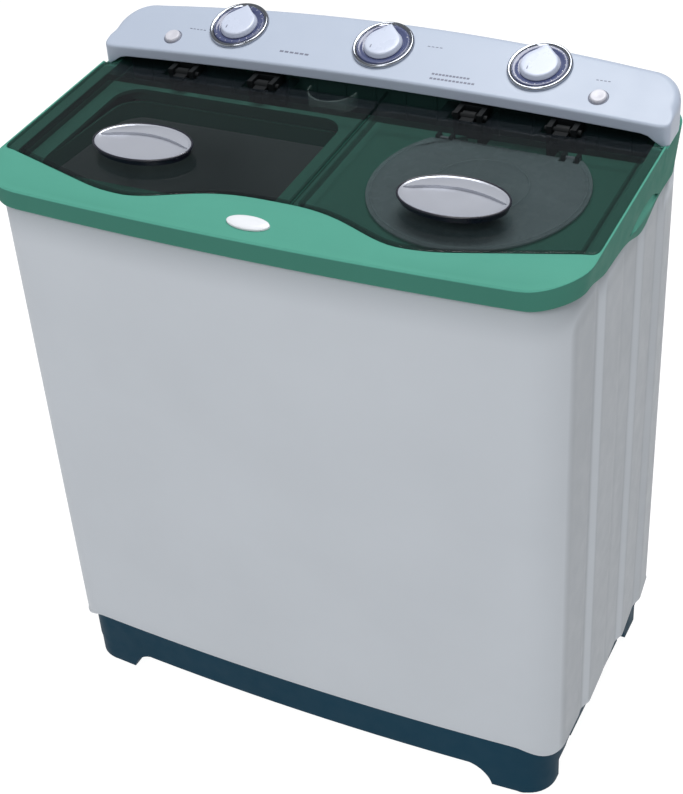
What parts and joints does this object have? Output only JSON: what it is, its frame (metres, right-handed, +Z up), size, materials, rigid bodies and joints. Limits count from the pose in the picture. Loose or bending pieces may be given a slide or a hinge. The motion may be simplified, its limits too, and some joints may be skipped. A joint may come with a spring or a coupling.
{
  "type": "twin tub washer",
  "caption": "Free-standing washing machine with a wash tub and a separate spin basket side by side under two hinged lids, and a sloping control panel along the back.",
  "frame": {"origin": "on the floor, under the middle of the machine", "axes": "+X to the spin side, +Y to the back, +Z up"},
  "size_m": [0.814, 0.468, 0.9409],
  "materials": {
    "base_plastic": "moulded, dark teal",
    "rubber": "matt black",
    "cabinet_plastic": "light grey, satin",
    "screw_steel": "zinc plated",
    "frame_plastic": "green, satin",
    "badge_white": "blank white",
    "tub_plastic": "pale grey green",
    "console_plastic": "pale blue white, satin",
    "box_plastic": "dark grey",
    "chrome": "bright",
    "dial_blue": "blue violet, metallic",
    "knob_plastic": "lilac white",
    "steel": "machined",
    "cast_grey": "grey paint",
    "lid_tint": "dark green tinted plastic, translucent",
    "inner_tint": "milky translucent plastic",
    "handle_dark": "near black",
    "dish_silver": "satin silver plating",
    "hinge_dark": "near black",
    "clear_trim": "pale grey"
  },
  "bodies": {
    "cabinet_body": {"base": "base_plastic", "foot_pads": "rubber", "cabinet": "cabinet_plastic", "back_cover": "cabinet_plastic", "screws": "screw_steel", "top_frame": "frame_plastic", "badge": "badge_white", "wash_tub": "tub_plastic", "spin_case": "tub_plastic", "console": "console_plastic", "console_back": "console_plastic", "wash_timer": "box_plastic", "mode_switch": "box_plastic", "spin_timer": "box_plastic", "wash_bezel": "chrome", "mode_bezel": "chrome", "spin_bezel": "chrome", "wash_dial": "dial_blue", "mode_dial": "dial_blue", "spin_dial": "dial_blue", "wash_bearing": "cast_grey", "drive_belt": "rubber", "wash_motor": "cast_grey", "spin_motor": "cast_grey", "motor_springs": "rubber", "shaft_seal": "rubber", "drain_body": "tub_plastic", "drain_spout": "box_plastic", "inlet_spout": "clear_trim", "fill_cup": "clear_trim", "lint_filter": "clear_trim", "cord_gland": "rubber", "capacitor": "clear_trim", "inner_lid_hinges": "frame_plastic", "wash_hinges": "hinge_dark", "spin_hinges": "hinge_dark", "console_clips": "clear_trim"},
    "wash_lid": {"wash_lid": "lid_tint", "wash_handle": "handle_dark", "wash_handle_dish": "dish_silver"},
    "spin_lid": {"spin_lid": "lid_tint", "spin_handle": "handle_dark", "spin_handle_dish": "dish_silver"},
    "inner_lid": {"inner_lid": "inner_tint"},
    "wash_knob": {"wash_knob": "knob_plastic"},
    "mode_knob": {"mode_knob": "knob_plastic"},
    "spin_knob": {"spin_knob": "knob_plastic"},
    "left_button": {"left_button": "knob_plastic"},
    "right_button": {"right_button": "knob_plastic"},
    "pulsator": {"pulsator": "tub_plastic", "pulsator_screw": "screw_steel", "wash_shaft": "steel", "wash_pulley": "cast_grey"},
    "wash_rotor": {"motor_pulley": "steel"},
    "spin_rotor": {"spin_basket": "tub_plastic", "spin_shaft": "steel", "brake_drum": "cast_grey"},
    "brake_lever": {"brake_lever": "steel"},
    "drain_plug": {"drain_plug": "rubber"}
  },
  "joints": [
    {"name": "wash_lid_hinge", "type": "hinge", "parent": "cabinet_body", "child": "wash_lid", "pos_m": [0, 0.09984, 0.87113], "axis": [-1, 0, 0], "range_deg": [0, 95]},
    {"name": "spin_lid_hinge", "type": "hinge", "parent": "cabinet_body", "child": "spin_lid", "pos_m": [0, 0.09984, 0.87113], "axis": [-1, 0, 0], "range_deg": [0, 95]},
    {"name": "inner_lid_hinge", "type": "hinge", "parent": "cabinet_body", "child": "inner_lid", "pos_m": [0.212, 0.07142, 0.85028], "axis": [-1, 0, 0], "range_deg": [0, 80]},
    {"name": "wash_knob_turn", "type": "hinge", "parent": "cabinet_body", "child": "wash_knob", "pos_m": [-0.219, 0.16592, 0.91998], "axis": [0, 0.3746, -0.9272], "range_deg": [0, 270]},
    {"name": "mode_knob_turn", "type": "hinge", "parent": "cabinet_body", "child": "mode_knob", "pos_m": [0, 0.16592, 0.91998], "axis": [0, 0.3746, -0.9272], "range_deg": [0, 90]},
    {"name": "spin_knob_turn", "type": "hinge", "parent": "cabinet_body", "child": "spin_knob", "pos_m": [0.219, 0.16592, 0.91998], "axis": [0, 0.3746, -0.9272], "range_deg": [0, 270]},
    {"name": "left_button_press", "type": "slide", "parent": "cabinet_body", "child": "left_button", "axis": [0, 0.3746, -0.9272], "range_m": [0, 0.003], "stiffness_N_per_m": 300, "springref_m": -0.003},
    {"name": "right_button_press", "type": "slide", "parent": "cabinet_body", "child": "right_button", "axis": [0, 0.3746, -0.9272], "range_m": [0, 0.003], "stiffness_N_per_m": 300, "springref_m": -0.003},
    {"name": "pulsator_spin", "type": "hinge", "parent": "cabinet_body", "child": "pulsator", "pos_m": [-0.19, -0.033, 0.3], "axis": [0, 0, 1], "continuous": true},
    {"name": "wash_rotor_spin", "type": "hinge", "parent": "cabinet_body", "child": "wash_rotor", "pos_m": [-0.07, 0.12, 0.2], "axis": [0, 0, 1], "continuous": true},
    {"name": "basket_spin", "type": "hinge", "parent": "cabinet_body", "child": "spin_rotor", "pos_m": [0.212, -0.026, 0.4], "axis": [0, 0, 1], "continuous": true},
    {"name": "brake_lever_swing", "type": "hinge", "parent": "cabinet_body", "child": "brake_lever", "pos_m": [0.15, -0.066, 0.194], "axis": [0, 0, -1], "range_deg": [0, 2.4]},
    {"name": "drain_plug_lift", "type": "slide", "parent": "cabinet_body", "child": "drain_plug", "axis": [0, 0, 1], "range_m": [0, 0.01]}
  ],
  "couplings": [
    {"joint": "inner_lid_hinge", "follows": "spin_lid_hinge", "ratio": 0.8421},
    {"joint": "wash_rotor_spin", "follows": "pulsator_spin", "ratio": 3.83},
    {"joint": "brake_lever_swing", "follows": "spin_lid_hinge", "ratio": 0.025263},
    {"joint": "drain_plug_lift", "follows": "mode_knob_turn", "m_per_rad": 0.00636}
  ]
}
